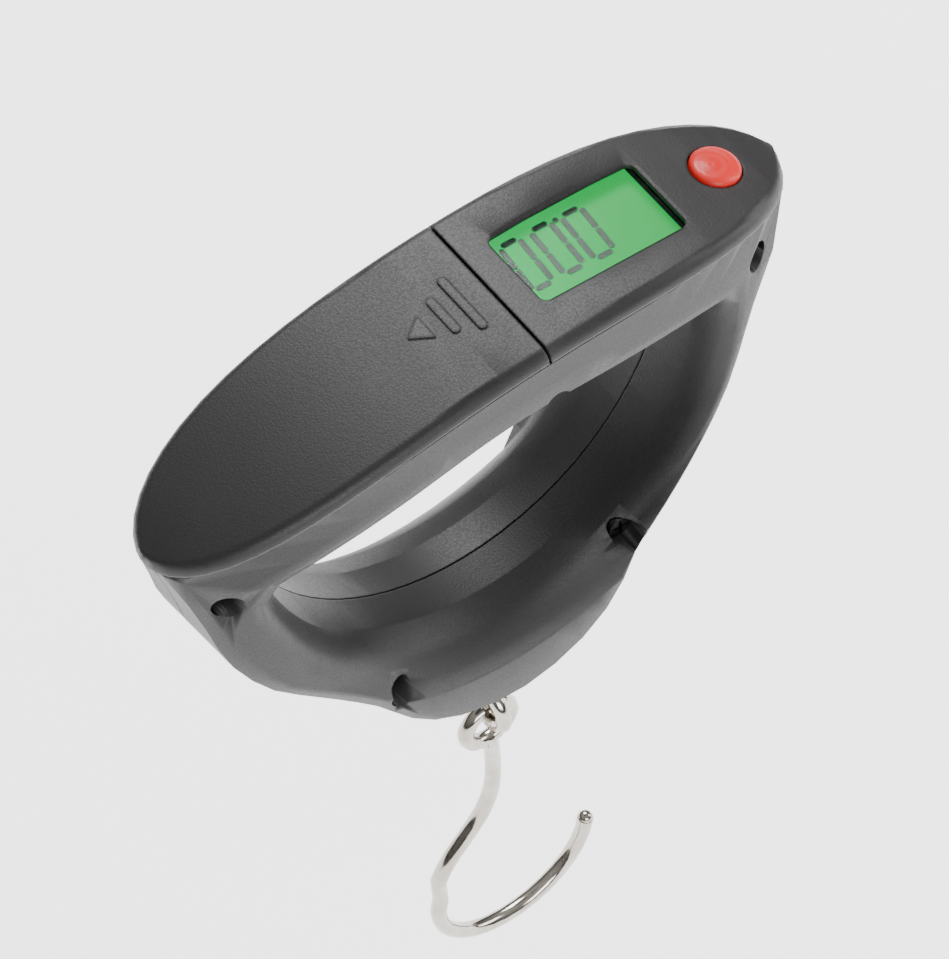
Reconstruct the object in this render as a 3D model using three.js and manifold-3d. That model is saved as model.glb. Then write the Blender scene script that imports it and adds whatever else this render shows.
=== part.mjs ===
// Digital luggage scale with a ring handle, built from its separate pieces.
// Units are millimetres. +X runs along the handle towards the power button, -Y is the side with the
// screw heads and +Z is up. The origin lies under the middle of the top bar, where the fingers carry it.

import * as THREE from 'three';
import { mergeVertices } from 'three/addons/utils/BufferGeometryUtils.js';
import Module from 'manifold-3d';

const wasm = await Module();
wasm.setup();

// ---- driving dimensions -------------------------------------------------------------------------

const panelHalfLength = 60;      // the top panel is 120 long
const bodyHalfWidth = 15.5;      // the body is 31 wide at its middle
const barDepth = 20;             // top of the panel above the finger side of the bar
const archRadius = 167;          // the panel is arched along its length
const endSharpness = 3.85;        // the panel's outline is straight along the sides and round at the ends
const endPower = 0.5;

const lipDrop = 2.9;             // parting line below the top surface
const chamferRun = 1.9;
const chamferDrop = 2.3;
const panelWall = 1.4;
const shellWall = 1.9;
const shellGap = 0.3;            // between the two half shells
const lidGap = 0.3;              // between the panel and the shells
const seamX = 5.3;               // where battery cover and top cover meet
const seamGap = 0.5;

const ringCentre = { x: -2, z: -14 };
const fingerHole = { centreX: -2, centreZ: 2.5, halfWide: 41.3, depth: 51.2, lean: 3.4 };
const fingerCorner = 6;

const screwHead = { radius: 2.15, height: 1.7 };
const screwShank = { radius: 1.05, length: 13 };
const holeRadius = 2.4;
const postRadius = 2.9;
const screwSpots = [
    [-52, -1.6],
    [48.2, 1.8],
    [-25, -47.6],
    [20.4, -47.2],
    [6.4, 5.6],
];

const hookX = 1;
const wireRadius = 1.4;
const eyeRadius = 4.6;           // centre line of both wire eyes
const wireGap = 0.1;
const bossBottom = -70.2;
const hookEyeZ = -101.2;
const bight = { x: 4.4, z: -150, radius: 15.6 };
const bightTipAngle = -0.1;
const sensorCable = 0.6;         // radius of the load cell's cable

const displayX = 24.4;
const glassSize = { length: 28, width: 14.6 };
const buttonX = 48.9;
const buttonRadius = 4.2;
const buttonClearance = 0.22;

const cell = { radius: 5.2, length: 44.5, spread: 5.3, centreX: -20.6 };
const beam = { left: -14.4, right: 5, top: -54.6, height: 8, width: 11 };
const gaugeX = -6.8;             // middle of the thinned stretch of the load cell

// ---- materials ----------------------------------------------------------------------------------

function finish(colour, roughness, metalness) {
    return new THREE.MeshStandardMaterial({ color: colour, roughness, metalness });
}

const mouldedBlack = () => finish(0x333233, 0.62, 0);
const innerPlastic = () => finish(0x2b2b2d, 0.7, 0);
const nickelWire = () => finish(0xb9b3aa, 0.18, 1);
const zincSteel = () => finish(0x8e9094, 0.35, 1);
const springSteel = () => finish(0xa9abad, 0.3, 1);
const machinedAluminium = () => finish(0xb4b7ba, 0.38, 1);
const redPlastic = () => finish(0xe5302c, 0.42, 0);
const clearPlastic = () => finish(0xdfeee6, 0.08, 0);
const lcdGreen = () => finish(0x17b865, 0.3, 0);
const milkyPlastic = () => finish(0xd9efe0, 0.5, 0);
const boardGreen = () => finish(0x1d5c34, 0.55, 0);
const epoxyBlack = () => finish(0x101011, 0.45, 0);
const rubberGrey = () => finish(0x6d6a66, 0.85, 0);
const cellJacket = () => finish(0x2d4f7c, 0.4, 0);
const brassYellow = () => finish(0xb08d4a, 0.35, 1);
const siliconeWhite = () => finish(0xe8e6df, 0.7, 0);
const wireInsulation = (colour) => finish(colour, 0.55, 0);

// ---- solids -------------------------------------------------------------------------------------

function bare(geometry) {
    const copy = geometry.clone();
    copy.deleteAttribute('normal');
    copy.deleteAttribute('uv');
    return mergeVertices(copy, 1e-4);
}

function turnedOutwards(geometry) {
    const place = geometry.getAttribute('position');
    const index = geometry.getIndex().array;
    const a = new THREE.Vector3();
    const b = new THREE.Vector3();
    const c = new THREE.Vector3();
    let volume = 0;
    for (let i = 0; i < index.length; i += 3) {
        a.fromBufferAttribute(place, index[i]);
        b.fromBufferAttribute(place, index[i + 1]);
        c.fromBufferAttribute(place, index[i + 2]);
        volume += a.dot(b.cross(c));
    }
    if (volume < 0) {
        for (let i = 0; i < index.length; i += 3) {
            [index[i], index[i + 1]] = [index[i + 1], index[i]];
        }
    }
    return geometry;
}

function solid(geometry) {
    const closed = turnedOutwards(bare(geometry));
    return new wasm.Manifold(new wasm.Mesh({
        numProp: 3,
        vertProperties: new Float32Array(closed.getAttribute('position').array),
        triVerts: new Uint32Array(closed.getIndex().array),
    }));
}

function surface(body) {
    const mesh = body.getMesh();
    const geometry = new THREE.BufferGeometry();
    geometry.setAttribute('position', new THREE.BufferAttribute(mesh.vertProperties, 3));
    geometry.setIndex(new THREE.BufferAttribute(mesh.triVerts, 1));
    geometry.computeVertexNormals();
    return geometry;
}

function piece(name, shape, material) {
    const geometry = shape instanceof THREE.BufferGeometry ? shape : surface(shape);
    const mesh = new THREE.Mesh(geometry, material);
    mesh.name = name;
    return mesh;
}

function block(minX, maxX, minY, maxY, minZ, maxZ) {
    const geometry = new THREE.BoxGeometry(maxX - minX, maxY - minY, maxZ - minZ);
    return geometry.translate((minX + maxX) / 2, (minY + maxY) / 2, (minZ + maxZ) / 2);
}

function rodZ(radius, bottom, top, x, y, sides = 20) {
    const geometry = new THREE.CylinderGeometry(radius, radius, top - bottom, sides);
    return geometry.rotateX(Math.PI / 2).translate(x, y, (bottom + top) / 2);
}

function rodY(radius, front, back, x, z, sides = 20) {
    const geometry = new THREE.CylinderGeometry(radius, radius, back - front, sides);
    return geometry.translate(x, (front + back) / 2, z);
}

function roundedOutline(length, width, corner) {
    const shape = new THREE.Shape();
    const x = length / 2;
    const y = width / 2;
    shape.moveTo(-x + corner, -y);
    shape.lineTo(x - corner, -y);
    shape.absarc(x - corner, -y + corner, corner, -Math.PI / 2, 0, false);
    shape.absarc(x - corner, y - corner, corner, 0, Math.PI / 2, false);
    shape.absarc(-x + corner, y - corner, corner, Math.PI / 2, Math.PI, false);
    shape.absarc(-x + corner, -y + corner, corner, Math.PI, Math.PI * 1.5, false);
    return shape;
}

function slab(shape, bottom, top, curveSegments = 4) {
    const settings = { depth: top - bottom, bevelEnabled: false, curveSegments };
    return new THREE.ExtrudeGeometry(shape, settings).translate(0, 0, bottom);
}

function tube(curve, radius, steps, sides) {
    const section = new THREE.Shape();
    section.absarc(0, 0, radius, 0, Math.PI * 2, false);
    return new THREE.ExtrudeGeometry(section, {
        steps, bevelEnabled: false, curveSegments: sides, extrudePath: curve,
    });
}

function torusAround(centre, axis, radius, wire, around = 20, sides = 8) {
    const geometry = new THREE.TorusGeometry(radius, wire, sides, around);
    if (axis === 'y') {
        geometry.rotateX(Math.PI / 2);
    } else {
        geometry.rotateY(Math.PI / 2);
    }
    return geometry.translate(centre.x, centre.y, centre.z);
}

// ---- outlines of the body -----------------------------------------------------------------------

function halfWidth(x) {
    const u = THREE.MathUtils.clamp(x / panelHalfLength, -1, 1);
    return bodyHalfWidth * (1 - Math.abs(u) ** endSharpness) ** endPower;
}

function topHeight(x) {
    const drop = archRadius - Math.sqrt(archRadius ** 2 - x ** 2);
    return barDepth - drop;
}

function topSlope(x) {
    return (topHeight(x + 0.5) - topHeight(x - 0.5));
}

// The finger hole is straight along the bar, has two small corners, and is part of an ellipse below.
function fingerHoleOutline() {
    const { centreX, centreZ, halfWide, depth, lean } = fingerHole;
    const start = Math.asin((centreZ + fingerCorner) / depth);
    const points = [];
    const lowerSteps = 24;
    for (let i = 0; i <= lowerSteps; i += 1) {
        const angle = start + (Math.PI - 2 * start) * i / lowerSteps;
        const x = centreX + halfWide * Math.cos(angle) + lean * (Math.sin(angle) - Math.sin(start));
        points.push([x, centreZ - depth * Math.sin(angle)]);
    }
    const side = halfWide * Math.cos(start) - fingerCorner;
    for (const turn of [150, 120, 90, 60, 30]) {
        const angle = THREE.MathUtils.degToRad(turn);
        const x = fingerCorner * Math.cos(angle) + Math.sign(90 - turn || -1) * side;
        points.push([centreX + x, fingerCorner * (Math.sin(angle) - 1)]);
        if (turn === 90) {
            points.push([centreX, 0], [centreX + side, 0]);
        }
    }
    return points;
}

// The outside of the ring, clockwise from above the bar: button end, right arm, boss, left arm, left end.
const outerOutline = [
    [0, 28], [25, 26], [44, 21], [57, 14], [60.4, 7.5], [58.2, 3], [54.4, -1.8], [49.2, -8.8], [46.4, -16],
    [42.6, -24.2], [36.4, -32.8], [29, -42.4], [25, -47.6], [21.9, -52.2], [19.2, -58], [15.4, -63.2],
    [8.6, -68], [-0.8, -70.2], [-9.9, -68.6], [-16.6, -65.2], [-21.6, -60.6], [-25.2, -56],
    [-28.6, -50.4], [-35.6, -41.8], [-41.6, -35.4], [-46.7, -30.2], [-50.6, -24.2], [-53.6, -17.4],
    [-55.4, -9.6], [-57.1, -2.6], [-59.7, 7], [-57, 14], [-44, 21], [-25, 26],
];

function outlineSpline(points) {
    const corners = points.map(([x, z]) => new THREE.Vector3(x, 0, z));
    return new THREE.CatmullRomCurve3(corners, true, 'centripetal').getPoints(points.length * 8);
}

// Distance from the ring's centre to an outline, at a given direction.
function reach(spline, angle) {
    const direction = new THREE.Vector2(Math.cos(angle), Math.sin(angle));
    let best = 0;
    for (let i = 0; i < spline.length - 1; i += 1) {
        const ax = spline[i].x - ringCentre.x;
        const az = spline[i].z - ringCentre.z;
        const bx = spline[i + 1].x - ringCentre.x;
        const bz = spline[i + 1].z - ringCentre.z;
        const sideA = direction.x * az - direction.y * ax;
        const sideB = direction.x * bz - direction.y * bx;
        if (sideA * sideB <= 0 && sideA !== sideB) {
            const share = sideA / (sideA - sideB);
            const along = direction.x * (ax + share * (bx - ax)) + direction.y * (az + share * (bz - az));
            best = Math.max(best, along);
        }
    }
    return best;
}

const innerSpline = outlineSpline(fingerHoleOutline());
const outerSpline = outlineSpline(outerOutline);

// How the inside of the ring is shaped at a direction: the crown is how far its middle stands proud
// of its edge, and crease is where the sharp line lies, as a share of the half width.
function innerShape(angle) {
    const down = Math.max(0, -Math.sin(angle));
    const up = Math.max(0, Math.sin(angle));
    const lower = THREE.MathUtils.smoothstep(down, 0.35, 0.85);
    const bar = THREE.MathUtils.smoothstep(up, 0.25, 0.6);
    return {
        crown: THREE.MathUtils.lerp(THREE.MathUtils.lerp(5.2, 4.9, lower), 8.1, bar),
        crease: THREE.MathUtils.lerp(0.995, 0.8, lower),
    };
}

// Half of one cross-section from the crest in the finger hole to the outer crest, as pairs of a
// distance from the finger hole and a share of the half width.
function ringProfile(thickness, angle, round) {
    const wanted = innerShape(angle);
    const crease = wanted.crease;
    const crown = Math.min(wanted.crown, thickness * 0.42);
    const sideDepth = thickness - round;
    const profile = [];
    for (const share of [0, 0.5, 0.82, 1]) {
        profile.push([crown * (1 - Math.sqrt(1 - (share * 0.995) ** 2)), crease * share]);
    }
    profile.push([Math.min(crown + 1.6, sideDepth - 0.3), crease + (1 - crease) * 0.45]);
    profile.push([Math.min(crown + 4.4, sideDepth), 1]);
    for (const turn of [15, 50, 90]) {
        const t = THREE.MathUtils.degToRad(turn);
        profile.push([sideDepth + round * Math.sin(t), 1 - (round / bodyHalfWidth) * (1 - Math.cos(t))]);
    }
    return profile;
}

// A closed ring: a torus whose sections are moved onto the outlines. An inset makes the hollow inside.
function ringSolid(around, inset) {
    const profileLength = 9;
    const sides = profileLength * 2 - 1;
    const geometry = new THREE.TorusGeometry(2, 1, sides, around);
    const place = geometry.getAttribute('position');
    for (let i = 0; i < place.count; i += 1) {
        const x = place.getX(i);
        const y = place.getY(i);
        const angle = Math.atan2(y, x);
        const turn = Math.atan2(place.getZ(i), Math.hypot(x, y) - 2);
        const slot = (Math.round(turn / (Math.PI * 2) * sides) + sides) % sides;
        const inner = reach(innerSpline, angle) + inset;
        const outer = reach(outerSpline, angle) - inset * 1.15;
        const round = Math.min(3.6, (outer - inner) * 0.4);
        const profile = ringProfile(outer - inner, angle, round);
        const step = slot < profileLength ? slot : sides - slot;
        const [depth, share] = profile[profileLength - 1 - step];
        const side = slot < profileLength ? 1 : -1;
        const r = inner + depth;
        const px = ringCentre.x + r * Math.cos(angle);
        const width = Math.max(0.25, halfWidth(px) - inset);
        place.setXYZ(i, px, side * share * width, ringCentre.z + r * Math.sin(angle));
    }
    return solid(geometry);
}

// ---- top panel ----------------------------------------------------------------------------------

// A bar along X made from a cylinder whose rings are moved onto cross-sections.
function barSolid(stations, sectionAt) {
    const sides = sectionAt(0).length;
    const geometry = new THREE.CylinderGeometry(1, 1, 1, sides, stations.length - 1);
    const place = geometry.getAttribute('position');
    for (let i = 0; i < place.count; i += 1) {
        const station = stations[Math.round((0.5 - place.getY(i)) * (stations.length - 1))];
        const section = sectionAt(station);
        const onAxis = Math.hypot(place.getX(i), place.getZ(i)) < 0.5;
        if (onAxis) {
            const z = (section[0][1] + section[Math.floor(sides / 2)][1]) / 2;
            place.setXYZ(i, station, 0, z);
        } else {
            const angle = Math.atan2(place.getX(i), place.getZ(i));
            const [y, z] = section[(Math.round(angle / (Math.PI * 2) * sides) + sides) % sides];
            place.setXYZ(i, station, y, z);
        }
    }
    return solid(geometry);
}

function panelStations(count, reachX) {
    return Array.from({ length: count }, (_, i) => -reachX * Math.cos(Math.PI * i / (count - 1)));
}

function panelSection(x, inset, bottomDrop) {
    const w = Math.max(0.2, halfWidth(x) - inset);
    const run = Math.min(chamferRun, w * 0.6);
    const top = topHeight(x) - inset * 0.75;
    const edge = Math.min(chamferDrop, bottomDrop - 0.3);
    return [
        [w - run, top], [w - run * 0.42, top - edge * 0.24], [w - run * 0.1, top - edge * 0.62],
        [w, top - edge], [w, topHeight(x) - bottomDrop], [-w, topHeight(x) - bottomDrop],
        [-w, top - edge], [-w + run * 0.1, top - edge * 0.62],
        [-w + run * 0.42, top - edge * 0.24], [-w + run, top],
    ];
}

function panelShell() {
    const outside = barSolid(panelStations(30, panelHalfLength - 0.05),
        (x) => panelSection(x, 0, lipDrop - lidGap));
    const hollow = barSolid(panelStations(16, panelHalfLength - 2.4),
        (x) => panelSection(x, panelWall, lipDrop + 3));
    return outside.subtract(hollow);
}

// Everything above the parting line, with the arch in even steps.
function abovePartingLine() {
    const shape = new THREE.Shape();
    const reachX = 66;
    const steps = 30;
    shape.moveTo(-reachX, 60);
    for (let i = 0; i <= steps; i += 1) {
        const x = -reachX + 2 * reachX * i / steps;
        shape.lineTo(x, topHeight(x) - lipDrop);
    }
    shape.lineTo(reachX, 60);
    const geometry = slab(shape, -25, 25);
    return solid(geometry.rotateX(Math.PI / 2));
}

// ---- half shells --------------------------------------------------------------------------------

function bossSocket(spot, front) {
    const [x, z] = spot;
    const wallY = halfWidth(x) - 0.6;
    return front
        ? solid(rodY(postRadius, -wallY, -shellGap / 2, x, z, 18))
        : solid(rodY(postRadius, shellGap / 2, wallY, x, z, 18));
}

function headDepth(x) {
    return halfWidth(x) - 5.6;
}

function makeShells() {
    const outside = ringSolid(56, 0);
    const hollow = ringSolid(32, shellWall);
    const lid = abovePartingLine();
    const bodyBlock = outside.subtract(lid);
    let frame = bodyBlock.subtract(hollow);
    for (const front of [true, false]) {
        for (const spot of screwSpots) {
            frame = frame.add(bossSocket(spot, front).intersect(bodyBlock));
        }
    }
    for (const [x, z] of screwSpots) {
        frame = frame.subtract(solid(rodY(holeRadius, -20, -headDepth(x), x, z, 22)));
        frame = frame.subtract(solid(rodY(screwShank.radius + 0.1, -20, 8.4, x, z, 12)));
    }
    frame = frame.subtract(solid(rodZ(3.1, bossBottom - 6, bossBottom + 6, hookX, 0, 20)));
    frame = frame.subtract(solid(tube(sensorRoute(), sensorCable + 0.8, 22, 8)));
    const farAway = 90;
    const frontHalf = solid(block(-farAway, farAway, -farAway, -shellGap / 2, -farAway, farAway));
    const backHalf = solid(block(-farAway, farAway, shellGap / 2, farAway, -farAway, farAway));
    return [
        piece('front_shell', frame.intersect(frontHalf), mouldedBlack()),
        piece('back_shell', frame.intersect(backHalf), mouldedBlack()),
    ];
}

function housingScrew(index, [x, z]) {
    const head = -headDepth(x) - screwHead.height - 0.05;
    const body = solid(rodY(screwHead.radius, head, head + screwHead.height, x, z, 18))
        .add(solid(rodY(screwShank.radius, head + 0.8, head + 0.8 + screwShank.length, x, z, 12)))
        .subtract(solid(block(x - 1.4, x + 1.4, head - 1, head + 0.7, z - 0.28, z + 0.28)))
        .subtract(solid(block(x - 0.28, x + 0.28, head - 1, head + 0.7, z - 1.4, z + 1.4)));
    return piece(`housing_screw_${index + 1}`, body, zincSteel());
}

// ---- covers -------------------------------------------------------------------------------------

function onSurface(x, rise = 0) {
    const place = new THREE.Group();
    place.position.set(x, 0, topHeight(x) + rise);
    place.rotation.y = -Math.atan(topSlope(x));
    place.updateMatrix();
    return place;
}

function slideMark(geometry, x) {
    return solid(geometry.applyMatrix4(onSurface(x).matrix));
}

function makeBatteryCover(panel) {
    const farAway = 90;
    let cover = panel.intersect(solid(block(-farAway, seamX - seamGap / 2, -farAway, farAway, -farAway, farAway)));
    const proud = 0.25;
    const arrow = new THREE.Shape();
    arrow.moveTo(-1.8, 0);
    arrow.lineTo(1.7, -2.4);
    arrow.lineTo(1.7, 2.4);
    arrow.closePath();
    cover = cover.add(slideMark(slab(arrow, -0.5, proud), -8));
    cover = cover.add(slideMark(slab(roundedOutline(1.5, 7.6, 0.7), -0.5, proud), -3.1));
    cover = cover.add(slideMark(slab(roundedOutline(1.5, 11.5, 0.7), -0.5, proud), 0.5));
    const top = topHeight(seamX);
    cover = cover.add(solid(block(seamX - 2, seamX + 1.6, -2.4, 2.4, top - 2.3, top - 1.4)));
    cover = cover.add(solid(block(seamX - 2, seamX - 0.8, -2.4, 2.4, top - 2.3, top - 0.6)));
    return piece('battery_cover', cover, mouldedBlack());
}

function makeTopCover(panel) {
    const farAway = 90;
    const { matrix } = onSurface(displayX);
    let cover = panel.intersect(solid(block(seamX + seamGap / 2, farAway, -farAway, farAway, -farAway, farAway)));
    const opening = slab(roundedOutline(glassSize.length, glassSize.width, 1.3), -6, 6);
    cover = cover.subtract(solid(opening.applyMatrix4(matrix)));
    const settings = { depth: 4, bevelEnabled: true, bevelThickness: 1, bevelSize: 1.1, bevelSegments: 1, curveSegments: 4 };
    const rim = new THREE.ExtrudeGeometry(roundedOutline(glassSize.length + 0.2, glassSize.width + 0.2, 1.3), settings);
    cover = cover.subtract(solid(rim.translate(0, 0, 0.15).applyMatrix4(matrix)));
    const hole = rodZ(buttonRadius + buttonClearance, -7, 7, 0, 0, 32);
    cover = cover.subtract(solid(hole.applyMatrix4(onSurface(buttonX).matrix)));
    return piece('top_cover', cover, mouldedBlack());
}

// ---- display and electronics --------------------------------------------------------------------

function makeDisplay() {
    const group = onSurface(displayX);
    const { length, width } = glassSize;
    const windowShape = roundedOutline(length + 1.6, width + 3.4, 1);
    group.add(piece('display_window', bare(slab(windowShape, -3.2, -2.3)), clearPlastic()));
    group.add(piece('lcd_glass', bare(block(-14, 14, -8.6, 8.6, -5.1, -3.3)), lcdGreen()));
    group.add(piece('backlight_panel', bare(block(-14, 14, -8.6, 8.6, -7.7, -5.2)), milkyPlastic()));
    const holder = solid(block(-14.9, 14.9, -9.6, 9.6, -8.2, -3.4))
        .subtract(solid(block(-14.1, 14.1, -8.7, 8.7, -7.8, 0)))
        .subtract(solid(block(-11, 11, -6.4, 6.4, -9, 0)));
    group.add(piece('lcd_holder', holder, milkyPlastic()));
    return group;
}

const boardTop = -8.3;
const boardThickness = 1.2;

function boardShape() {
    const shape = new THREE.Shape();
    shape.moveTo(-12.5, -9.8);
    shape.lineTo(17.5, -9.8);
    shape.lineTo(26, -5.2);
    shape.lineTo(26, 5.2);
    shape.lineTo(17.5, 9.8);
    shape.lineTo(-12.5, 9.8);
    shape.closePath();
    return shape;
}

const switchX = 23;
const boardScrewSpots = [[17.4, 7.2], [17.4, -7.2]];

function makeBoard() {
    const group = onSurface(displayX);
    let board = solid(slab(boardShape(), boardTop - boardThickness, boardTop));
    for (const [x, y] of boardScrewSpots) {
        board = board.subtract(solid(rodZ(1.1, -20, 0, x, y, 14)));
    }
    group.add(piece('circuit_board', board, boardGreen()));
    const blob = new THREE.SphereGeometry(4, 16, 8).scale(1, 1, 0.35);
    const chip = solid(blob.translate(-2, 0, boardTop - boardThickness - 0.1))
        .intersect(solid(block(-9, 9, -9, 9, -20, boardTop - boardThickness - 0.1)));
    group.add(piece('chip_blob', chip, epoxyBlack()));
    const switchTop = boardTop + 2.2;
    const housing = solid(block(switchX - 3, switchX + 3, -3, 3, boardTop + 0.02, switchTop))
        .subtract(solid(rodZ(1.75, boardTop + 0.9, 0, switchX, 0, 16)));
    group.add(piece('tact_switch', housing, epoxyBlack()));
    const plunger = rodZ(1.45, switchTop - 0.5, switchTop + 0.85, switchX, 0, 16);
    group.add(piece('switch_plunger', bare(plunger), epoxyBlack()));
    boardScrewSpots.forEach(([x, y], i) => {
        const screw = solid(rodZ(1.7, boardTop + 0.05, boardTop + 1.2, x, y, 14))
            .add(solid(rodZ(0.9, boardTop - 4.6, boardTop + 0.3, x, y, 12)));
        group.add(piece(`board_screw_${i + 1}`, screw, zincSteel()));
    });
    return group;
}

function makeButton() {
    const group = onSurface(buttonX);
    const r = buttonRadius;
    const profile = [
        [0, 1.15], [r * 0.45, 1.08], [r * 0.75, 0.9], [r * 0.93, 0.62], [r, 0.2], [r, -1.9],
        [r + 0.75, -1.9], [r + 0.75, -2.5], [1.4, -2.5], [1.4, -3.3], [0, -3.3],
    ];
    const points = profile.map(([x, z]) => new THREE.Vector2(x, z)).reverse();
    const cap = new THREE.LatheGeometry(points, 28).rotateX(Math.PI / 2);
    group.add(piece('power_button', turnedOutwards(bare(cap)), redPlastic()));
    return group;
}

// ---- batteries ----------------------------------------------------------------------------------

const chordLeft = -44.5;
const chordRight = 4;

function batteryGroup() {
    const group = new THREE.Group();
    const slope = (topHeight(chordRight) - topHeight(chordLeft)) / (chordRight - chordLeft);
    group.position.set(cell.centreX, 0, topHeight(chordLeft) + slope * (cell.centreX - chordLeft));
    group.rotation.y = -Math.atan(slope);
    group.updateMatrix();
    return group;
}

const cellAxis = -1.5 - cell.radius;
const trayHalfLength = 25.4;

function alongX(geometry) {
    return geometry.rotateY(Math.PI / 2);
}

function makeBattery(index, y, facing) {
    const half = cell.length / 2;
    const can = new THREE.CylinderGeometry(cell.radius, cell.radius, cell.length - 0.8, 24).rotateZ(Math.PI / 2);
    const nub = new THREE.CylinderGeometry(1.9, 1.9, 1.2, 16).rotateZ(Math.PI / 2);
    const body = solid(can.translate(-0.4 * facing, y, cellAxis))
        .add(solid(nub.translate(facing * (half - 0.6), y, cellAxis)));
    return piece(`battery_${index}`, body, cellJacket());
}

function contactSpring(name, y, facing) {
    const turns = 3;
    const points = [];
    for (let i = 0; i <= turns * 10; i += 1) {
        const angle = i / 10 * Math.PI * 2;
        const radius = 3.2 - 1.6 * i / (turns * 10);
        const x = -facing * (24.0 - 1.45 * i / (turns * 10));
        points.push(new THREE.Vector3(x, y + radius * Math.cos(angle), cellAxis + radius * Math.sin(angle)));
    }
    const coil = tube(new THREE.CatmullRomCurve3(points), 0.2, turns * 6, 4);
    return piece(name, turnedOutwards(bare(coil)), springSteel());
}

function contactPlate(name, x, minY, maxY, dimpleY) {
    const inward = x > 0 ? -1 : 1;
    let plate = solid(block(x - 0.2, x + 0.2, minY, maxY, cellAxis - 3.6, cellAxis + 3.6));
    if (dimpleY !== null) {
        const dimple = new THREE.CylinderGeometry(1.5, 1.5, 1.4, 14).rotateZ(Math.PI / 2);
        plate = plate.add(solid(dimple.translate(x + inward * 0.8, dimpleY, cellAxis)));
    }
    return piece(name, plate, springSteel());
}

function makeTray(matrix) {
    const half = trayHalfLength;
    const inside = 23.9;
    let tray = solid(block(-half, half, -12, 12, -11.2, -2.6));
    for (const side of [-1, 1]) {
        const trough = new THREE.CylinderGeometry(cell.radius + 0.15, cell.radius + 0.15, inside * 2, 24);
        tray = tray.subtract(solid(trough.rotateZ(Math.PI / 2).translate(0, side * cell.spread, cellAxis)));
        const mouth = block(-inside, inside, side * cell.spread - 4.6, side * cell.spread + 4.6, cellAxis, 2);
        tray = tray.subtract(solid(mouth));
        const slot = side * 24.45;
        tray = tray.subtract(solid(block(slot - 0.6, slot + 0.6, -10, 10, cellAxis - 3.8, 2)));
    }
    tray = tray.subtract(solid(block(-inside, inside, -1.2, 1.2, cellAxis - 1.4, 2)));
    tray = tray.subtract(solid(block(inside, half + 1, -12, 12, cellAxis + 4, 2)));
    const inverse = matrix.clone().invert();
    const room = ringSolid(30, shellWall + 0.7).transform(inverse.elements);
    return piece('battery_tray', tray.intersect(room), innerPlastic());
}

function makeBatteries() {
    const group = batteryGroup();
    const y = cell.spread;
    group.add(makeTray(group.matrix));
    group.add(makeBattery(1, -y, 1));
    group.add(makeBattery(2, y, -1));
    group.add(contactPlate('battery_link', -24.45, -9, 9, y));
    group.add(contactPlate('positive_contact', 24.45, -9.2, -1.4, -y));
    group.add(contactPlate('negative_contact', 24.45, 1.4, 9.2, null));
    group.add(contactSpring('link_spring', -y, 1));
    group.add(contactSpring('negative_spring', y, -1));
    return group;
}

// ---- load cell, eye and hook --------------------------------------------------------------------

function makeLoadCell() {
    const group = new THREE.Group();
    const bottom = beam.top - beam.height;
    const middle = (beam.top + bottom) / 2;
    const halfY = beam.width / 2;
    let bar = solid(block(beam.left, beam.right, -halfY, halfY, bottom, beam.top));
    for (const x of [gaugeX - 1.4, gaugeX + 1.4]) {
        bar = bar.subtract(solid(rodY(2.5, -20, 20, x, middle, 18)));
    }
    bar = bar.subtract(solid(rodZ(1.7, -80, -40, hookX, 0, 16)));
    const screwPlaces = [[beam.left + 1.9, -2.8], [beam.left + 1.9, 2.8]];
    for (const [x, y] of screwPlaces) {
        bar = bar.subtract(solid(rodZ(1.05, beam.top - 5, beam.top + 1, x, y, 12)));
    }
    group.add(piece('load_cell', bar, machinedAluminium()));
    const patches = [['strain_gauge_top', beam.top + 0.05], ['strain_gauge_bottom', bottom - 0.65]];
    for (const [name, z] of patches) {
        const patch = block(gaugeX - 3, gaugeX + 3, -3, 3, z, z + 0.6);
        group.add(piece(name, bare(patch), siliconeWhite()));
    }
    let bracket = solid(block(beam.left, beam.left + 4, -9, 9, beam.top + 0.05, beam.top + 1.65));
    for (const [x, y] of screwPlaces) {
        bracket = bracket.subtract(solid(rodZ(1.05, -80, -40, x, y, 12)));
    }
    group.add(piece('anchor_bracket', bracket, zincSteel()));
    screwPlaces.forEach(([x, y], i) => {
        const screw = solid(rodZ(1.8, beam.top + 1.7, beam.top + 2.9, x, y, 14))
            .add(solid(rodZ(0.95, beam.top - 4.4, beam.top + 2, x, y, 12)));
        group.add(piece(`load_cell_screw_${i + 1}`, screw, zincSteel()));
    });
    return group;
}

const linkWireZ = hookEyeZ + eyeRadius - 2 * wireRadius - wireGap;
const pullEyeZ = linkWireZ + eyeRadius;

function makePullEye() {
    const group = new THREE.Group();
    const ring = torusAround(new THREE.Vector3(hookX, 0, pullEyeZ), 'x', eyeRadius, wireRadius);
    const stem = rodZ(1.45, pullEyeZ + eyeRadius - 0.3, beam.top + 3, hookX, 0, 16);
    const collar = rodZ(2.4, pullEyeZ + eyeRadius + 1.2, pullEyeZ + eyeRadius + 2.6, hookX, 0, 16);
    group.add(piece('pull_eye', solid(ring).add(solid(stem)).add(solid(collar)), nickelWire()));
    const nut = solid(rodZ(3.1, beam.top + 0.1, beam.top + 2.5, hookX, 0, 6)).subtract(solid(rodZ(1.5, -80, -40, hookX, 0, 16)));
    group.add(piece('pull_eye_nut', nut, zincSteel()));
    const bushProfile = [
        [1.75, -4], [4.4, -4], [5, -3.4], [5, -0.4], [2.9, -0.4], [2.9, 5], [1.75, 5], [1.75, -4],
    ].map(([x, z]) => new THREE.Vector2(x, z));
    const bush = new THREE.LatheGeometry(bushProfile, 24).rotateX(Math.PI / 2).translate(hookX, 0, bossBottom);
    group.add(piece('pull_eye_bushing', turnedOutwards(bare(bush)), innerPlastic()));
    return group;
}

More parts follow.
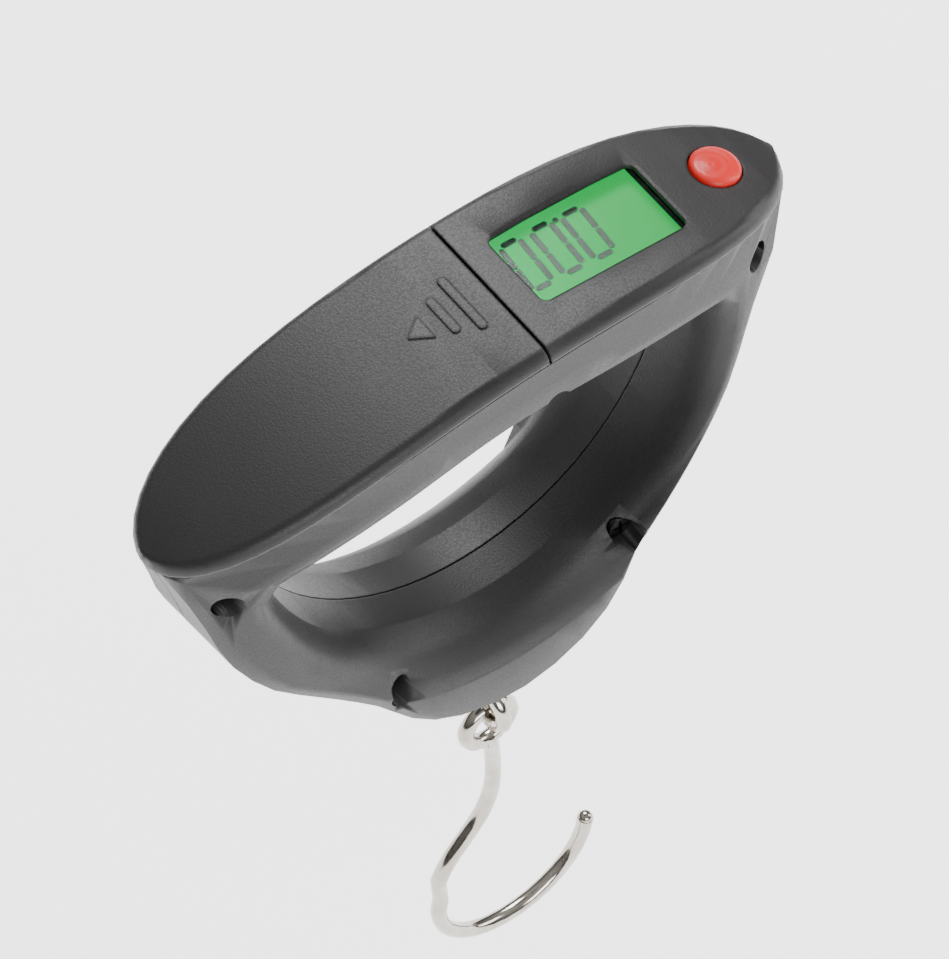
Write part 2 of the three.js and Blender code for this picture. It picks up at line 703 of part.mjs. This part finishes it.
class HookLine extends THREE.Curve {
    constructor() {
        super();
        const points = [
            [hookX + 0.2, hookEyeZ - eyeRadius + 0.2], [hookX + 0.5, -111], [hookX + 0.5, -116.5],
            [hookX - 0.1, -122], [hookX - 2.2, -127.4], [hookX - 6, -132], [hookX - 9.7, -136.2],
            [hookX - 12, -141],
        ].map(([x, z]) => new THREE.Vector3(x, 0, z));
        const turns = 14;
        const start = Math.PI - 0.32;
        const end = Math.PI * 2 + bightTipAngle;
        for (let i = 0; i <= turns; i += 1) {
            const angle = start + (end - start) * i / turns;
            const x = bight.x + bight.radius * Math.cos(angle);
            points.push(new THREE.Vector3(x, 0, bight.z + bight.radius * Math.sin(angle)));
        }
        this.inner = new THREE.CatmullRomCurve3(points, false, 'centripetal');
    }

    getPoint(t, target = new THREE.Vector3()) {
        return this.inner.getPoint(t, target);
    }
}

function makeHook() {
    const line = new HookLine();
    const wire = solid(tube(line, wireRadius, 30, 8));
    const eye = solid(torusAround(new THREE.Vector3(hookX, 0, hookEyeZ), 'y', eyeRadius, wireRadius));
    const tip = line.getPoint(1);
    const ball = solid(new THREE.SphereGeometry(wireRadius * 0.98, 12, 8).translate(tip.x, tip.y, tip.z));
    return piece('hook', wire.add(eye).add(ball), nickelWire());
}

// ---- wiring -------------------------------------------------------------------------------------

function lead(name, colour, points, radius, steps) {
    const curve = new THREE.CatmullRomCurve3(points.map((p) => new THREE.Vector3(...p)));
    return piece(name, turnedOutwards(bare(tube(curve, radius, steps, 6))), wireInsulation(colour));
}

// Half way between the finger hole and the outside of the ring, in one direction from its centre.
function armMiddle(degrees, y) {
    const angle = THREE.MathUtils.degToRad(degrees);
    const r = (reach(innerSpline, angle) + reach(outerSpline, angle)) / 2;
    return [ringCentre.x + r * Math.cos(angle), y, ringCentre.z + r * Math.sin(angle)];
}

// The sensor cable runs from the load cell up through the arm at the button's side.
function sensorRoute() {
    const points = [[gaugeX + 2, 4.6, beam.top + 1.6], [1, 5.4, beam.top + 1.6], [9, 5, beam.top + 2.2]];
    for (const degrees of [-64, -57, -49, -42, -35, -28, -20, -11, -3]) {
        points.push(armMiddle(degrees, 4.4));
    }
    points.push([43.4, 6.4, -3], [40, 4.6, 3]);
    return new THREE.CatmullRomCurve3(points.map((p) => new THREE.Vector3(...p)));
}

function makeWiring() {
    const group = new THREE.Group();
    const sensor = tube(sensorRoute(), sensorCable, 22, 6);
    group.add(piece('sensor_cable', turnedOutwards(bare(sensor)), wireInsulation(0x3c3c40)));
    group.add(lead('battery_wire_red', 0xb3261e, [
        [6.8, -4.6, 10.4], [8.2, -5, 10.2], [10, -5.6, 9.6], [12.4, -6, 9.2],
    ], 0.6, 8));
    group.add(lead('battery_wire_black', 0x1a1a1a, [
        [6.8, 4.6, 10.4], [8.2, 5, 10.2], [10, 5.6, 9.6], [12.4, 6, 9.2],
    ], 0.6, 8));
    return group;
}

// ---- the whole scale ----------------------------------------------------------------------------

function makeScale() {
    const scale = new THREE.Group();
    const panel = panelShell();
    scale.add(...makeShells());
    screwSpots.forEach((spot, i) => scale.add(housingScrew(i, spot)));
    scale.add(makeBatteryCover(panel));
    scale.add(makeTopCover(panel));
    scale.add(makeDisplay());
    scale.add(makeBoard());
    scale.add(makeButton());
    scale.add(makeBatteries());
    scale.add(makeLoadCell());
    scale.add(makePullEye());
    scale.add(makeHook());
    scale.add(makeWiring());
    return scale;
}

export default makeScale();
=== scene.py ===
import math

import bpy
from mathutils import Matrix, Vector


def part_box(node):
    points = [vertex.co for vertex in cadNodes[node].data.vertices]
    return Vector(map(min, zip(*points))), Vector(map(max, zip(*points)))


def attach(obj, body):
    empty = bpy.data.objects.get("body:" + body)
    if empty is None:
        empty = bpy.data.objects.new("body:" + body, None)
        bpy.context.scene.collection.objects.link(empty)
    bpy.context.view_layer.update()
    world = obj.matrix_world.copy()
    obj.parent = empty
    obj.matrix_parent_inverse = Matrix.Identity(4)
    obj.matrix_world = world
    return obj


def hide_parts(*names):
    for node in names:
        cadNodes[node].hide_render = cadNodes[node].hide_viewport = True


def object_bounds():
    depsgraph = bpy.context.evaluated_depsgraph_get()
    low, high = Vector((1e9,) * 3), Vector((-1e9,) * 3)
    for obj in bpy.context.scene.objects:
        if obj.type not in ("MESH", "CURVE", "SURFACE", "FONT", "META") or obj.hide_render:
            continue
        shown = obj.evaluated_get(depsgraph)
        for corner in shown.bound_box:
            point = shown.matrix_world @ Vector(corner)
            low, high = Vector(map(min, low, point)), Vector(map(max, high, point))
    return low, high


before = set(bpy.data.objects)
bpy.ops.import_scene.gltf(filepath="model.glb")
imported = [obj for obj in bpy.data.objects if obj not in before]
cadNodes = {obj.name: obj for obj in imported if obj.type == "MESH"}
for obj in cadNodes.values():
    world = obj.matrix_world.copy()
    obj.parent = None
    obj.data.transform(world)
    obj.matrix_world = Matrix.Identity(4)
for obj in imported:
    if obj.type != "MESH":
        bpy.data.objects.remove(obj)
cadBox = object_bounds()
print("frame loaded")


# ---- node helpers ----

def addNode(tree, kind, **settings):
    node = tree.nodes.new(kind)
    for key, value in settings.items():
        setattr(node, key, value)
    return node


def setInputs(node, **values):
    for key, value in values.items():
        node.inputs[key.replace("_", " ")].default_value = value
    return node


def mapRange(tree, source, low, high, toLow, toHigh):
    node = addNode(tree, "ShaderNodeMapRange")
    setInputs(node, From_Min=low, From_Max=high, To_Min=toLow, To_Max=toHigh)
    tree.links.new(source, node.inputs["Value"])
    return node.outputs["Result"]


def mixColour(tree, factor, first, second):
    node = addNode(tree, "ShaderNodeMix", data_type="RGBA")
    tree.links.new(factor, node.inputs[0])
    for socket, value in ((node.inputs[6], first), (node.inputs[7], second)):
        if isinstance(value, tuple):
            socket.default_value = value
        else:
            tree.links.new(value, socket)
    return node.outputs[2]


def noise(tree, vector, scale, detail, roughness=0.5):
    node = addNode(tree, "ShaderNodeTexNoise")
    setInputs(node, Scale=scale, Detail=detail, Roughness=roughness)
    tree.links.new(vector, node.inputs["Vector"])
    return node.outputs["Fac"]


def newGroup(name, inputs, outputs):
    group = bpy.data.node_groups.new(name, "ShaderNodeTree")
    for label, value in inputs.items():
        socket = group.interface.new_socket(name=label, in_out="INPUT", socket_type="NodeSocketFloat")
        socket.default_value = value
    for label, kind in outputs.items():
        group.interface.new_socket(name=label, in_out="OUTPUT", socket_type=kind)
    return group, addNode(group, "NodeGroupInput"), addNode(group, "NodeGroupOutput")


# ---- shared surface effects ----

def makeMouldedGroup():
    group, given, made = newGroup(
        "moulded surface",
        {"Grain Size": 2600.0, "Grain Depth": 0.00002, "Edge Radius": 0.0003},
        {"Mottle": "NodeSocketFloat", "Edge": "NodeSocketFloat", "Grain": "NodeSocketFloat",
         "Normal": "NodeSocketVector"},
    )
    links = group.links
    place = addNode(group, "ShaderNodeTexCoord").outputs["Object"]
    broad = noise(group, place, 28.0, 3.0)
    fine = addNode(group, "ShaderNodeTexNoise")
    setInputs(fine, Detail=3.0, Roughness=0.6)
    links.new(place, fine.inputs["Vector"])
    links.new(given.outputs["Grain Size"], fine.inputs["Scale"])
    cells = addNode(group, "ShaderNodeTexVoronoi")
    links.new(place, cells.inputs["Vector"])
    links.new(given.outputs["Grain Size"], cells.inputs["Scale"])
    both = addNode(group, "ShaderNodeMath", operation="ADD")
    links.new(fine.outputs["Fac"], both.inputs[0])
    links.new(cells.outputs["Distance"], both.inputs[1])
    sharp = addNode(group, "ShaderNodeNewGeometry").outputs["Pointiness"]
    rounded = addNode(group, "ShaderNodeBevel", samples=4)
    links.new(given.outputs["Edge Radius"], rounded.inputs["Radius"])
    bump = addNode(group, "ShaderNodeBump")
    setInputs(bump, Strength=0.7)
    links.new(given.outputs["Grain Depth"], bump.inputs["Distance"])
    links.new(both.outputs[0], bump.inputs["Height"])
    links.new(rounded.outputs["Normal"], bump.inputs["Normal"])
    links.new(broad, made.inputs["Mottle"])
    # Edge mask: rises on sharp convex edges, where the colour is lightened as wear and as a painted edge
    # highlight.
    links.new(mapRange(group, sharp, 0.52, 0.62, 0.0, 1.0), made.inputs["Edge"])
    links.new(both.outputs[0], made.inputs["Grain"])
    links.new(bump.outputs["Normal"], made.inputs["Normal"])
    return group


def makeMetalGroup():
    group, given, made = newGroup(
        "plated metal",
        {"Line Size": 900.0, "Line Depth": 0.000004},
        {"Mottle": "NodeSocketFloat", "Lines": "NodeSocketFloat", "Normal": "NodeSocketVector"},
    )
    links = group.links
    place = addNode(group, "ShaderNodeTexCoord").outputs["Object"]
    lines = addNode(group, "ShaderNodeTexNoise")
    setInputs(lines, Detail=4.0, Roughness=0.65)
    links.new(place, lines.inputs["Vector"])
    links.new(given.outputs["Line Size"], lines.inputs["Scale"])
    bump = addNode(group, "ShaderNodeBump")
    setInputs(bump, Strength=0.5)
    links.new(given.outputs["Line Depth"], bump.inputs["Distance"])
    links.new(lines.outputs["Fac"], bump.inputs["Height"])
    links.new(noise(group, place, 160.0, 4.0), made.inputs["Mottle"])
    links.new(lines.outputs["Fac"], made.inputs["Lines"])
    links.new(bump.outputs["Normal"], made.inputs["Normal"])
    return group


mouldedGroup = makeMouldedGroup()
metalGroup = makeMetalGroup()


def newMaterial(name):
    material = bpy.data.materials.new(name)
    material.use_nodes = True
    tree = material.node_tree
    return material, tree, tree.nodes["Principled BSDF"]


def mouldedMaterial(
        name, dark, light, edge, rough, grain=2600.0, depth=0.00002, radius=0.0003, coat=0.0):
    material, tree, shader = newMaterial(name)
    surface = addNode(tree, "ShaderNodeGroup", node_tree=mouldedGroup)
    setInputs(surface, Grain_Size=grain, Grain_Depth=depth, Edge_Radius=radius)
    body = mixColour(tree, mapRange(tree, surface.outputs["Mottle"], 0.35, 0.65, 0.0, 1.0), dark, light)
    # Sharp convex edges are mixed up to halfway towards the lighter edge colour: rubbed wear together with
    # a painted highlight along the edges.
    wearAndEdgeHighlight = mixColour(tree, mapRange(tree, surface.outputs["Edge"], 0.0, 1.0, 0.0, 0.5), body, edge)
    tree.links.new(wearAndEdgeHighlight, shader.inputs["Base Color"])
    roughness = mapRange(tree, surface.outputs["Grain"], 0.3, 1.3, rough - 0.06, rough + 0.08)
    tree.links.new(roughness, shader.inputs["Roughness"])
    tree.links.new(surface.outputs["Normal"], shader.inputs["Normal"])
    shader.inputs["Coat Weight"].default_value = coat
    shader.inputs["Specular IOR Level"].default_value = 0.3
    return material


def metalMaterial(name, dark, light, smooth, rough, lineSize=900.0):
    material, tree, shader = newMaterial(name)
    surface = addNode(tree, "ShaderNodeGroup", node_tree=metalGroup)
    setInputs(surface, Line_Size=lineSize)
    colour = mixColour(tree, mapRange(tree, surface.outputs["Mottle"], 0.3, 0.7, 0.0, 1.0), dark, light)
    tree.links.new(colour, shader.inputs["Base Color"])
    roughness = mapRange(tree, surface.outputs["Lines"], 0.3, 0.7, smooth, rough)
    tree.links.new(roughness, shader.inputs["Roughness"])
    tree.links.new(surface.outputs["Normal"], shader.inputs["Normal"])
    shader.inputs["Metallic"].default_value = 1.0
    return material


# The third colour of each moulded finish is its lighter edge colour, wear and painted edge highlight in
# one.
blackBody = mouldedMaterial(
    "black moulded body", (0.0085, 0.008, 0.0085, 1), (0.014, 0.013, 0.0135, 1),
    (0.04, 0.039, 0.04, 1), 0.44)
panelBlack = mouldedMaterial(
    "black panel", (0.01, 0.009, 0.0095, 1), (0.016, 0.0145, 0.015, 1), (0.05, 0.049, 0.05, 1), 0.4,
    radius=0.0006)
innerBlack = mouldedMaterial(
    "inner plastic", (0.03, 0.03, 0.032, 1), (0.05, 0.05, 0.052, 1), (0.1, 0.1, 0.1, 1), 0.5)
epoxyBlack = mouldedMaterial(
    "black epoxy", (0.008, 0.008, 0.008, 1), (0.018, 0.018, 0.018, 1), (0.04, 0.04, 0.04, 1), 0.35)
boardGreen = mouldedMaterial(
    "board green", (0.01, 0.09, 0.035, 1), (0.02, 0.14, 0.05, 1), (0.3, 0.25, 0.1, 1), 0.3, grain=900.0)
cellSleeve = mouldedMaterial(
    "cell sleeve", (0.012, 0.02, 0.05, 1), (0.02, 0.035, 0.08, 1), (0.3, 0.3, 0.32, 1), 0.3, coat=0.4)
whiteSilicone = mouldedMaterial(
    "white silicone", (0.6, 0.6, 0.57, 1), (0.75, 0.75, 0.72, 1), (0.8, 0.8, 0.8, 1), 0.5)
greyLead = mouldedMaterial(
    "grey lead", (0.03, 0.03, 0.034, 1), (0.05, 0.05, 0.055, 1), (0.1, 0.1, 0.1, 1), 0.45)
redLead = mouldedMaterial(
    "red lead", (0.3, 0.015, 0.01, 1), (0.4, 0.02, 0.015, 1), (0.5, 0.1, 0.1, 1), 0.45)
blackLead = mouldedMaterial(
    "black lead", (0.01, 0.01, 0.01, 1), (0.02, 0.02, 0.02, 1), (0.06, 0.06, 0.06, 1), 0.45)
digitInk = mouldedMaterial(
    "display segment", (0.004, 0.02, 0.01, 1), (0.008, 0.03, 0.016, 1), (0.01, 0.04, 0.02, 1), 0.3,
    radius=0.0001)
nickelWire = metalMaterial("nickel wire", (0.34, 0.31, 0.27, 1), (0.5, 0.47, 0.42, 1), 0.08, 0.2)
platedSteel = metalMaterial("plated steel", (0.45, 0.45, 0.45, 1), (0.62, 0.62, 0.62, 1), 0.22, 0.4)
blackScrew = metalMaterial("black oxide", (0.02, 0.02, 0.02, 1), (0.05, 0.05, 0.05, 1), 0.3, 0.45)
cellMetal = metalMaterial("bare aluminium", (0.55, 0.55, 0.56, 1), (0.75, 0.75, 0.76, 1), 0.25, 0.42, 500.0)


def ringHeight(tree, centre, spacing):
    # Rings round the button's middle, measured across the panel.
    place = addNode(tree, "ShaderNodeTexCoord").outputs["Object"]
    offset = addNode(tree, "ShaderNodeVectorMath", operation="SUBTRACT")
    tree.links.new(place, offset.inputs[0])
    offset.inputs[1].default_value = centre
    flat = addNode(tree, "ShaderNodeVectorMath", operation="MULTIPLY")
    tree.links.new(offset.outputs[0], flat.inputs[0])
    flat.inputs[1].default_value = (1.045, 1.0, 0.0)
    distance = addNode(tree, "ShaderNodeVectorMath", operation="LENGTH")
    tree.links.new(flat.outputs[0], distance.inputs[0])
    wave = addNode(tree, "ShaderNodeMath", operation="MULTIPLY")
    tree.links.new(distance.outputs["Value"], wave.inputs[0])
    wave.inputs[1].default_value = math.tau / spacing
    sine = addNode(tree, "ShaderNodeMath", operation="SINE")
    tree.links.new(wave.outputs[0], sine.inputs[0])
    return sine.outputs[0]


def makeButtonMaterial():
    material = mouldedMaterial(
        "red button", (0.5, 0.008, 0.006, 1), (0.64, 0.014, 0.01, 1), (0.8, 0.08, 0.06, 1), 0.36,
        depth=0.00001, radius=0.0005, coat=0.15)
    tree = material.node_tree
    shader = tree.nodes["Principled BSDF"]
    low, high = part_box("power_button")
    centre = ((low[0] + high[0]) / 2, (low[1] + high[1]) / 2, 0.0)
    bump = addNode(tree, "ShaderNodeBump")
    setInputs(bump, Strength=0.35, Distance=0.00012)
    tree.links.new(ringHeight(tree, centre, 0.0021), bump.inputs["Height"])
    grain = shader.inputs["Normal"].links[0].from_socket
    tree.links.new(grain, bump.inputs["Normal"])
    tree.links.new(bump.outputs["Normal"], shader.inputs["Normal"])
    return material


def makeDisplayMaterial():
    # Lit green, paler towards the left end, with a faint cell pattern.
    material, tree, shader = newMaterial("lit display")
    low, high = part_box("lcd_glass")
    place = addNode(tree, "ShaderNodeTexCoord").outputs["Object"]
    split = addNode(tree, "ShaderNodeSeparateXYZ")
    tree.links.new(place, split.inputs[0])
    along = mapRange(tree, split.outputs["X"], low[0], high[0], 0.0, 1.0)
    green = mixColour(tree, along, (0.002, 0.55, 0.11, 1), (0.0, 0.42, 0.06, 1))
    cloud = mapRange(tree, noise(tree, place, 90.0, 3.0), 0.3, 0.7, 0.0, 0.25)
    colour = mixColour(tree, cloud, green, (0.004, 0.62, 0.14, 1))
    unlit = mixColour(tree, cloud, (0.0, 0.1, 0.02, 1), (0.0, 0.14, 0.03, 1))
    tree.links.new(unlit, shader.inputs["Base Color"])
    tree.links.new(colour, shader.inputs["Emission Color"])
    shader.inputs["Emission Strength"].default_value = 1.1
    shader.inputs["Specular IOR Level"].default_value = 0.1
    cells = addNode(tree, "ShaderNodeTexVoronoi")
    setInputs(cells, Scale=3000.0)
    tree.links.new(place, cells.inputs["Vector"])
    bump = addNode(tree, "ShaderNodeBump")
    setInputs(bump, Strength=0.2, Distance=0.00001)
    tree.links.new(cells.outputs["Distance"], bump.inputs["Height"])
    tree.links.new(bump.outputs["Normal"], shader.inputs["Normal"])
    roughness = mapRange(tree, cells.outputs["Distance"], 0.0, 1.0, 0.3, 0.45)
    tree.links.new(roughness, shader.inputs["Roughness"])
    return material


def makeWindowMaterial():
    material, tree, shader = newMaterial("clear window")
    place = addNode(tree, "ShaderNodeTexCoord").outputs["Object"]
    clear = addNode(tree, "ShaderNodeBsdfTransparent")
    clear.inputs["Color"].default_value = (0.97, 1.0, 0.98, 1)
    shine = addNode(tree, "ShaderNodeBsdfGlossy")
    shine.inputs["Color"].default_value = (0.9, 0.9, 0.9, 1)
    smear = mapRange(tree, noise(tree, place, 120.0, 4.0), 0.3, 0.7, 0.04, 0.12)
    tree.links.new(smear, shine.inputs["Roughness"])
    edge = addNode(tree, "ShaderNodeFresnel")
    setInputs(edge, IOR=1.07)
    blend = addNode(tree, "ShaderNodeMixShader")
    tree.links.new(edge.outputs[0], blend.inputs[0])
    tree.links.new(clear.outputs[0], blend.inputs[1])
    tree.links.new(shine.outputs[0], blend.inputs[2])
    output = tree.nodes["Material Output"]
    tree.links.new(blend.outputs[0], output.inputs["Surface"])
    tree.nodes.remove(shader)
    return material


redButton = makeButtonMaterial()
litDisplay = makeDisplayMaterial()
clearWindow = makeWindowMaterial()
print("materials made")


# ---- shown shells and wires: smooth copies of the frame's own shapes ----

skinClean = {
    "mergeDistance": 0.000002,
    "sliverLength": 0.00001,
    "flatAngle": 0.3,
    "normalWeight": 90,
}


def selectOnly(item):
    bpy.ops.object.select_all(action="DESELECT")
    item.select_set(True)
    bpy.context.view_layer.objects.active = item


def paint(item, material):
    item.data.materials.clear()
    item.data.materials.append(material)


def smoothCopy(name, body, slotName, material, angle):
    source = cadNodes[name]
    piece = source.copy()
    piece.data = source.data.copy()
    piece.parent = None
    piece.matrix_world = Matrix.Identity(4)
    piece.name = name + "_skin"
    for key in list(piece.keys()):
        del piece[key]
    bpy.context.scene.collection.objects.link(piece)
    selectOnly(piece)
    bpy.ops.object.mode_set(mode="EDIT")
    bpy.ops.mesh.select_all(action="SELECT")
    bpy.ops.mesh.remove_doubles(threshold=skinClean["mergeDistance"])
    bpy.ops.mesh.dissolve_degenerate(threshold=skinClean["sliverLength"])
    bpy.ops.mesh.dissolve_limited(angle_limit=math.radians(skinClean["flatAngle"]))
    bpy.ops.object.mode_set(mode="OBJECT")
    bpy.ops.object.shade_smooth_by_angle(angle=math.radians(angle))
    even = piece.modifiers.new("even normals", "WEIGHTED_NORMAL")
    even.keep_sharp = True
    even.weight = skinClean["normalWeight"]
    bpy.ops.object.modifier_apply(modifier=even.name)
    paint(piece, material)
    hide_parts(name)
    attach(piece, body)
    return piece


# Each row: the piece, its body, its material slot, its material and its sharpest smooth angle.
skinTable = [
    ("front_shell", "housing", "black_body", blackBody, 33),
    ("back_shell", "housing", "black_body", blackBody, 33),
    ("top_cover", "housing", "black_body", panelBlack, 30),
    ("battery_cover", "cover", "black_body", panelBlack, 30),
    ("power_button", "button", "red_button", redButton, 35),
    ("pull_eye", "swivel", "nickel_wire", nickelWire, 60),
    ("pull_eye_bushing", "housing", "nickel_wire", nickelWire, 40),
    ("hook", "hook_body", "nickel_wire", nickelWire, 60),
]
for row in skinTable:
    smoothCopy(*row)
for index in range(1, 6):
    smoothCopy(f"housing_screw_{index}", "housing", "black_screw", blackScrew, 40)
print("skins made")


# ---- display digits: raised segments on the display glass ----

digitSize = {
    "centres": [(0.01373, 0.0016), (0.01961, 0.00156), (0.02527, 0.00133)],
    "halfWide": 0.00185,
    "halfTall": 0.0048,
    "stroke": 0.00115,
    "rise": 0.00005,
    "gap": 0.0003,
    "barCut": 0.0008,
    "lean": 0.07,
    "lift": 0.00002,
    "dot": (0.02274, 0.0060),
    "dotRadius": 0.0005,
}
displayNormal = Vector((0.1461, 0.0, 0.98927))
displayOffset = 0.0182845


def onDisplay(x, y):
    z = (displayOffset - displayNormal.x * x - displayNormal.y * y) / displayNormal.z
    return Vector((x, y, z))


def makeSegment(along, across, length, upright):
    # One six-sided bar of a digit, flat, about its own middle.
    stroke = digitSize["stroke"]
    bpy.ops.mesh.primitive_cylinder_add(vertices=6, radius=stroke / 2, depth=digitSize["rise"])
    bar = bpy.context.object
    for vertex in bar.data.vertices:
        vertex.co.y += math.copysign((length - stroke) / 2, vertex.co.y)
    if not upright:
        for vertex in bar.data.vertices:
            vertex.co.x, vertex.co.y = -vertex.co.y, vertex.co.x
    for vertex in bar.data.vertices:
        vertex.co.x += along
        vertex.co.y += across
    return bar


def makeZero():
    wide = digitSize["halfWide"]
    tall = digitSize["halfTall"]
    half = tall - digitSize["gap"]
    cross = wide * 2 - digitSize["barCut"]
    bars = [
        makeSegment(-wide, half / 2, half, True),
        makeSegment(wide, half / 2, half, True),
        makeSegment(-wide, -half / 2, half, True),
        makeSegment(wide, -half / 2, half, True),
        makeSegment(0.0, tall, cross, False),
        makeSegment(0.0, -tall, cross, False),
    ]
    bpy.ops.object.select_all(action="DESELECT")
    for bar in bars:
        bar.select_set(True)
    bpy.context.view_layer.objects.active = bars[0]
    bpy.ops.object.join()
    zero = bpy.context.object
    # The digits lean a little, as on most segment displays.
    for vertex in zero.data.vertices:
        vertex.co.x += vertex.co.y * digitSize["lean"]
    return zero


def layOnDisplay(item, x, y):
    tilt = Matrix.Rotation(math.atan2(displayNormal.x, displayNormal.z), 4, "Y")
    spot = onDisplay(x, y) + displayNormal * (digitSize["rise"] / 2 + digitSize["lift"])
    item.data.transform(Matrix.Translation(spot) @ tilt)
    item.matrix_world = Matrix.Identity(4)
    paint(item, digitInk)
    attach(item, "housing")


pattern = makeZero()
for index, (x, y) in enumerate(digitSize["centres"]):
    digit = pattern.copy()
    digit.data = pattern.data.copy()
    digit.name = f"display_digit_{index + 1}"
    bpy.context.scene.collection.objects.link(digit)
    layOnDisplay(digit, x, y)
bpy.data.objects.remove(pattern)

bpy.ops.mesh.primitive_cylinder_add(
    vertices=16, radius=digitSize["dotRadius"], depth=digitSize["rise"])
point = bpy.context.object
point.name = "display_point"
layOnDisplay(point, *digitSize["dot"])
print("digits made")


# ---- finishes of the pieces kept from the frame ----

keptFinishes = {
    "display_window": clearWindow, "lcd_glass": litDisplay, "backlight_panel": litDisplay,
    "lcd_holder": innerBlack, "circuit_board": boardGreen, "chip_blob": epoxyBlack,
    "tact_switch": epoxyBlack, "switch_plunger": epoxyBlack, "battery_tray": innerBlack,
    "battery_1": cellSleeve, "battery_2": cellSleeve, "battery_link": platedSteel,
    "positive_contact": platedSteel, "negative_contact": platedSteel, "link_spring": platedSteel,
    "negative_spring": platedSteel, "load_cell": cellMetal, "strain_gauge_top": whiteSilicone,
    "strain_gauge_bottom": whiteSilicone, "anchor_bracket": platedSteel, "pull_eye_nut": nickelWire,
    "sensor_cable": greyLead, "battery_wire_red": redLead, "battery_wire_black": blackLead,
    "board_screw_1": platedSteel, "board_screw_2": platedSteel,
    "load_cell_screw_1": platedSteel, "load_cell_screw_2": platedSteel,
}
for name, material in keptFinishes.items():
    paint(cadNodes[name], material)


# ---- floor, light and camera ----

floorSize = {"side": 6.0, "drop": 0.03, "glow": 2.2}
lowest = cadBox[0][2]
bpy.ops.mesh.primitive_plane_add(size=floorSize["side"], location=(0.0, 0.0, lowest - floorSize["drop"]))
floor = bpy.context.object
floor.name = "floor"
floorMaterial, floorTree, floorShader = newMaterial("pale floor")
floorPlace = addNode(floorTree, "ShaderNodeTexCoord").outputs["Object"]
floorCloud = noise(floorTree, floorPlace, 6.0, 3.0)
floorTone = mixColour(floorTree, floorCloud, (0.88, 0.88, 0.88, 1), (0.9, 0.9, 0.9, 1))
floorTree.links.new(floorTone, floorShader.inputs["Base Color"])
floorShader.inputs["Roughness"].default_value = 0.8
floorTree.links.new(floorTone, floorShader.inputs["Emission Color"])
floorShader.inputs["Emission Strength"].default_value = floorSize["glow"]
paint(floor, floorMaterial)


def addArea(name, place, target, size, power):
    light = bpy.data.lights.new(name, "AREA")
    light.shape = "RECTANGLE"
    light.size, light.size_y = size
    light.energy = power
    lamp = bpy.data.objects.new(name, light)
    lamp.location = place
    direction = Vector(target) - Vector(place)
    lamp.rotation_euler = direction.to_track_quat("-Z", "Y").to_euler()
    bpy.context.scene.collection.objects.link(lamp)


addArea("key light", (0.35, 0.55, 0.75), (0.0, 0.0, -0.03), (0.5, 0.5), 13.0)
addArea("front light", (-0.2, -0.9, 0.35), (0.0, 0.0, -0.06), (0.7, 0.4), 8.0)
addArea("side light", (0.8, -0.3, 0.25), (0.0, 0.0, -0.05), (0.3, 0.6), 4.0)

world = bpy.data.worlds.new("studio")
bpy.context.scene.world = world
world.use_nodes = True
worldTree = world.node_tree
sky = worldTree.nodes["Background"]
direction = addNode(worldTree, "ShaderNodeTexCoord").outputs["Generated"]
parts = addNode(worldTree, "ShaderNodeSeparateXYZ")
worldTree.links.new(direction, parts.inputs[0])
ramp = addNode(worldTree, "ShaderNodeValToRGB")
worldTree.links.new(mapRange(worldTree, parts.outputs["Z"], -1.0, 1.0, 0.0, 1.0), ramp.inputs[0])
ramp.color_ramp.elements[0].color = (0.75, 0.75, 0.75, 1)
ramp.color_ramp.elements[1].color = (1, 1, 1, 1)
band = ramp.color_ramp.elements.new(0.5)
band.color = (0.06, 0.06, 0.06, 1)
worldTree.links.new(ramp.outputs[0], sky.inputs["Color"])
sky.inputs["Strength"].default_value = 0.75

cameraPlace = {
    "spot": (-0.38762, -0.55933, 1.01297),
    "right": (0.79388, -0.60735, -0.02996),
    "up": (0.52183, 0.65515, 0.54632),
    "back": (-0.31218, -0.44934, 0.83704),
    "lens": 303.79,
    "sensor": 36.0,
    "reach": 20.0,
}
cameraData = bpy.data.cameras.new("camera")
cameraData.sensor_fit = "HORIZONTAL"
cameraData.sensor_width = cameraPlace["sensor"]
cameraData.lens = cameraPlace["lens"]
cameraData.clip_end = cameraPlace["reach"]
camera = bpy.data.objects.new("camera", cameraData)
bpy.context.scene.collection.objects.link(camera)
turned = Matrix([Vector(cameraPlace[side]) for side in ("right", "up", "back")]).transposed().to_4x4()
camera.matrix_world = Matrix.Translation(cameraPlace["spot"]) @ turned
bpy.context.scene.camera = camera

print("scene ready")
